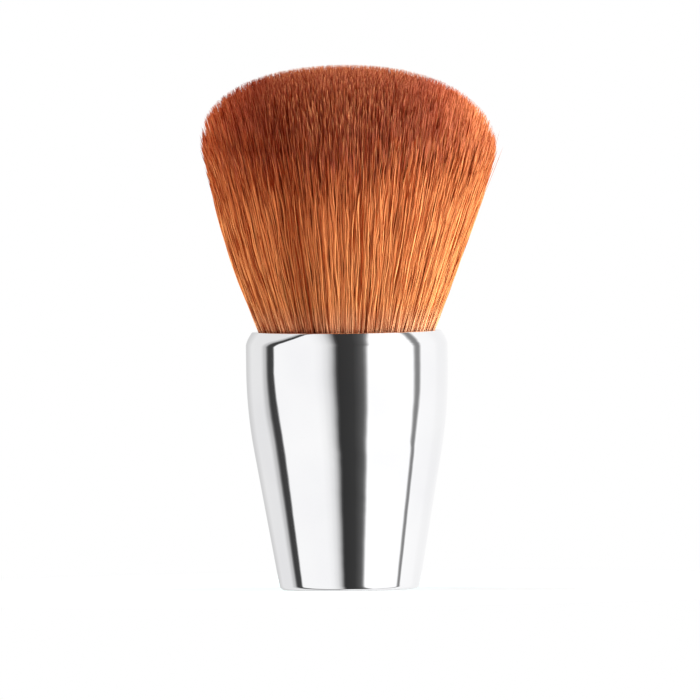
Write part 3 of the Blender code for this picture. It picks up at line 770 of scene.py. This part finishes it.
def domeStrands(draw, t, d, layer):
    # In shares of the side's radius a strand's place is (P0 + (P1 - P0) s^1.5)(1 - 0.06 (1 - s)), P1 being
    # drawn to a clump of tips. Its tip lies below the trim by a random drop with an exponential spread
    count, head = layer["count"], t["headRadius"]
    step = np.array(layer["steps"])[None, :]
    share = layer["share"] * np.sqrt((np.arange(count) + 0.5) / count)
    angle = (np.arange(count) * d["goldenAngle"]) % turn
    x = head * share * np.cos(angle) + draw.normal(0, d["scatter"], count)
    y = head * share * np.sin(angle) + draw.normal(0, d["scatter"], count)
    tipX, tipY, clump = gather(draw, x, y, layer["clump"], d["clumpPull"])
    tipShare, tipAngle = np.hypot(tipX, tipY) / head, np.arctan2(tipY, tipX)
    many = clump.max() + 1
    inner = 1 - smoothStep(tipShare, *d["middle"])
    loose = layer["loose"][1] + (layer["loose"][0] - layer["loose"][1]) * inner
    drop = d["drop"] * draw.exponential(1.0, count)
    drop = drop + np.abs(draw.normal(0, d["clumpDrop"], many))[clump] - d["dropLift"]
    drop = np.maximum(drop, draw.uniform(*d["dropEven"], count))    # a third end at the trim itself
    tipHeight = trimHeight(np.minimum(tipShare, 1.0), tipAngle, t) - drop * loose - layer["below"]
    length = layer["length"] * draw.uniform(*d["lengthSpread"], count)[:, None]
    height = tipHeight[:, None] - length * (1 - step)
    way, opened = step ** d["bendPower"], 1 - d["opening"] * (1 - step)
    wander = (1 - step) * draw.normal(0, d["wander"], (2, count))[:, :, None]
    flick = (d["flick"][1] + (d["flick"][0] - d["flick"][1]) * inner)[:, None]
    flick = flick * (step == 1) * draw.normal(0, 1, (2, count))[:, :, None]
    placeX = (x[:, None] + (tipX - x)[:, None] * way) * opened + wander[0]
    placeY = (y[:, None] + (tipY - y)[:, None] * way) * opened + wander[1]
    scale = sideRadius(height, tipAngle[:, None], t) / head
    centres = np.stack([placeX * scale + flick[0], placeY * scale + flick[1], height], 2)
    radii = np.array(layer["radii"])[None, :] * draw.uniform(*d["thickness"], count)[:, None]
    tone = layer["tone"] + draw.normal(0, d["ownTone"], count) + draw.normal(0, d["clumpTone"], many)[clump]
    # painted rim light: tips near the edge are lighter at the left and the right of the head
    tone = tone + t["paintedRimLight"] * smoothStep(tipShare, *d["rimLightRise"]) * towardsEdge(tipAngle)
    # painted shade: the shade stripe reaches in from the edge of the head
    tone = tone - paintedShadeStripe(tipAngle, t) * smoothStep(tipShare, *d["shadeStripeRise"])
    uneven = draw.uniform(*d["uneven"], count)[:, None]
    along = 1 - (tipHeight[:, None] - height) * uneven / t["colourLength"] - layer["shift"]
    # painted shade and rim light: the dye band dips where shade falls and thins at both sides
    along = along + (paintedDyeShading(tipAngle, t) * smoothStep(tipShare, *d["dyeShadingRise"]))[:, None]
    return centres, tipAngle % turn, radii, tone, along


# Stray hair: a few fine hairs that stand off the side and bend away towards their tips
strayHair = {
    "count": 40, "rings": 9, "tipHeight": (55, 66), "rootHeight": (40, 50), "off": (0.08, 0.30),
    "within": 0.4, "offPower": 1.5, "turning": 0.03,
    "radius": 0.04, "taperShare": 0.125, "taperEnd": 0.15, "along": (0.45, 0.95), "tone": (0.4, 0.8),
    # two of them are placed one by one: angle, tip's height, root's height and how far it stands off
    "placed": [(6.23, 63.2, 50.0, 0.95), (0.10, 61.5, 52.0, 0.55)],
}


def strayStrands(draw, t, s):
    count = s["count"]
    step = np.linspace(0, 1, s["rings"])[None, :]
    angle = draw.uniform(0, turn, count)
    tipHeight, rootHeight = draw.uniform(*s["tipHeight"], count), draw.uniform(*s["rootHeight"], count)
    off = draw.uniform(*s["off"], count)
    for i, row in enumerate(s["placed"]):
        angle[i], tipHeight[i], rootHeight[i], off[i] = row
    height = rootHeight[:, None] + (tipHeight - rootHeight)[:, None] * step
    away = (s["within"] + off)[:, None] * step ** s["offPower"] - s["within"]
    radius = sideRadius(height, angle[:, None], t) + away
    bent = angle[:, None] + draw.normal(0, s["turning"], count)[:, None] * step ** 2
    centres = np.stack([radius * np.cos(bent), radius * np.sin(bent), height], 2)
    whole = np.ones((count, 1))
    radii = s["radius"] * np.clip((1 - step) / s["taperShare"], s["taperEnd"], 1) * whole
    along = (s["along"][0] + (s["along"][1] - s["along"][0]) * step) * whole
    return centres, angle, radii, draw.uniform(*s["tone"], count), along


def strandMesh(name, parts, width):
    # each strand is a three-sided tube: centre + radius (cos p e_r + sin p e_t) at three angles p,
    # closed at both ends. parts are (centres, angles, radii, tones, along) with centres in mm.
    # The map's u is the tone, in a strip as wide as width, and its v is how far along the strand
    vertices, quads, triangles, quadUv, triangleUv = [], [], [], [], []
    spinStep = 2.399    # about the golden angle, so that no two neighbours' flats face the same way
    cap = 0.001         # how much of the map's length an end takes
    offset = 0
    for centres, angle, radii, tone, along in parts:
        count, rings = radii.shape
        spin = (np.arange(count) * spinStep)[:, None, None] + (np.arange(3) * turn / 3)[None, None, :]
        radial = np.stack([np.cos(angle), np.sin(angle), np.zeros(count)], 1)[:, None, None, :]
        tangent = np.stack([-np.sin(angle), np.cos(angle), np.zeros(count)], 1)[:, None, None, :]
        ring = np.cos(spin)[..., None] * radial + np.sin(spin)[..., None] * tangent
        vertices.append(((centres[:, :, None, :] + ring * radii[:, :, None, None]) * mm).reshape(-1, 3))
        first = offset + (np.arange(count) * rings * 3)[:, None, None]
        row = (np.arange(rings - 1) * 3)[None, :, None]
        s, n = np.arange(3)[None, None, :], ((np.arange(3) + 1) % 3)[None, None, :]
        near, far = first + row, first + row + 3
        corners = np.broadcast_arrays(near + s, near + n, far + n, far + s)
        quads.append(np.stack(corners, 3).reshape(-1, 4))
        base, tip = first[:, 0, 0], first[:, 0, 0] + (rings - 1) * 3
        triangles.append(np.stack([base, base + 2, base + 1], 1))
        triangles.append(np.stack([tip, tip + 1, tip + 2], 1))
        tone = np.broadcast_to(tone.reshape(count, -1), radii.shape)
        u0, u1 = tone[:, :-1, None] + s * width / 3, tone[:, 1:, None] + s * width / 3
        low, high = along[:, :-1, None], along[:, 1:, None]
        uv = np.stack(np.broadcast_arrays(u0, low, u0 + width / 3, low, u1 + width / 3, high, u1, high), 3)
        quadUv.append(uv.reshape(-1, 2))
        for u, v in ((tone[:, 0], along[:, 0]), (tone[:, -1], along[:, -1])):
            triangleUv.append(np.stack([u, v, u + width, v, u + width / 2, v + cap], 1).reshape(-1, 2))
        offset += count * rings * 3
    return buildMesh(name, np.concatenate(vertices), np.concatenate(quads), np.concatenate(triangles),
                     np.concatenate(quadUv + triangleUv))


def filament(name):
    # crimped synthetic filament, extruded and dyed in two tones: the eye gets fine silky streaks, lighter
    # at the cut tips, red-brown in a band just under them, warm orange below it and pale at the root
    material, tree, shader = newMaterial(name, Roughness=0.5, IOR=1.5, Specular_IOR_Level=0.05)
    spot = addNode(tree, "ShaderNodeUVMap", uv_map="OFBake")
    axes = addNode(tree, "ShaderNodeSeparateXYZ", {0: spot.outputs[0]})
    light = addNode(tree, "ShaderNodeValToRGB", {"Fac": axes.outputs["Y"]}, stops=[
        (0.25, "#EEB497"), (0.29, "#EA9E72"), (0.38, "#EA9158"), (0.62, "#EC8D54"), (0.8, "#E3814D"),
        (0.9, "#DB7A4B"), (0.94, "#D26F4A"), (0.965, "#B95A41"), (0.985, "#A8533B"), (1.0, "#D78253")])
    dark = addNode(tree, "ShaderNodeValToRGB", {"Fac": axes.outputs["Y"]}, stops=[
        (0.25, "#984726"), (0.29, "#953E1B"), (0.38, "#953812"), (0.62, "#963611"), (0.8, "#90310F"),
        (0.9, "#8B2E0E"), (0.94, "#86290E"), (0.965, "#75200B"), (0.985, "#6A1D09"), (1.0, "#893111")])
    colour = addNode(tree, "ShaderNodeMix", {"Factor": axes.outputs["X"], 6: dark.outputs["Color"],
                     7: light.outputs["Color"]}, data_type="RGBA")
    tree.links.new(colour.outputs[2], shader.inputs["Base Color"])
    return material


def makeTuft(t):
    draw = np.random.default_rng(t["seed"])
    core = tuftCore(t, coreMass)
    core.data.materials.append(packedRoots(coreMass))
    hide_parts("bristle_tuft")
    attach(core, "root")
    groups = [sideStrands(draw, t, sideHair)]
    groups += [domeStrands(draw, t, domeHair, layer) for layer in domeHair["layers"]]
    groups.append(strayStrands(draw, t, strayHair))
    hair = filament("dyedCrimpedFilament")
    for sector in range(t["sectors"]):
        parts = []
        for centres, angle, radii, tone, along in groups:
            chosen = np.floor(angle / turn * t["sectors"]).astype(int) % t["sectors"] == sector
            if chosen.any():
                tones = np.clip(tone[chosen], *t["toneRange"])
                places = np.clip(along[chosen], *t["alongRange"])
                parts.append((centres[chosen], angle[chosen], radii[chosen], tones, places))
        piece = strandMesh(f"strandSector{sector + 1}", parts, t["stripWidth"])
        piece.data.materials.append(hair)
        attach(piece, "root")
        print("strands of sector", sector + 1, "faces:", len(piece.data.polygons))


makeTuft(tuft)
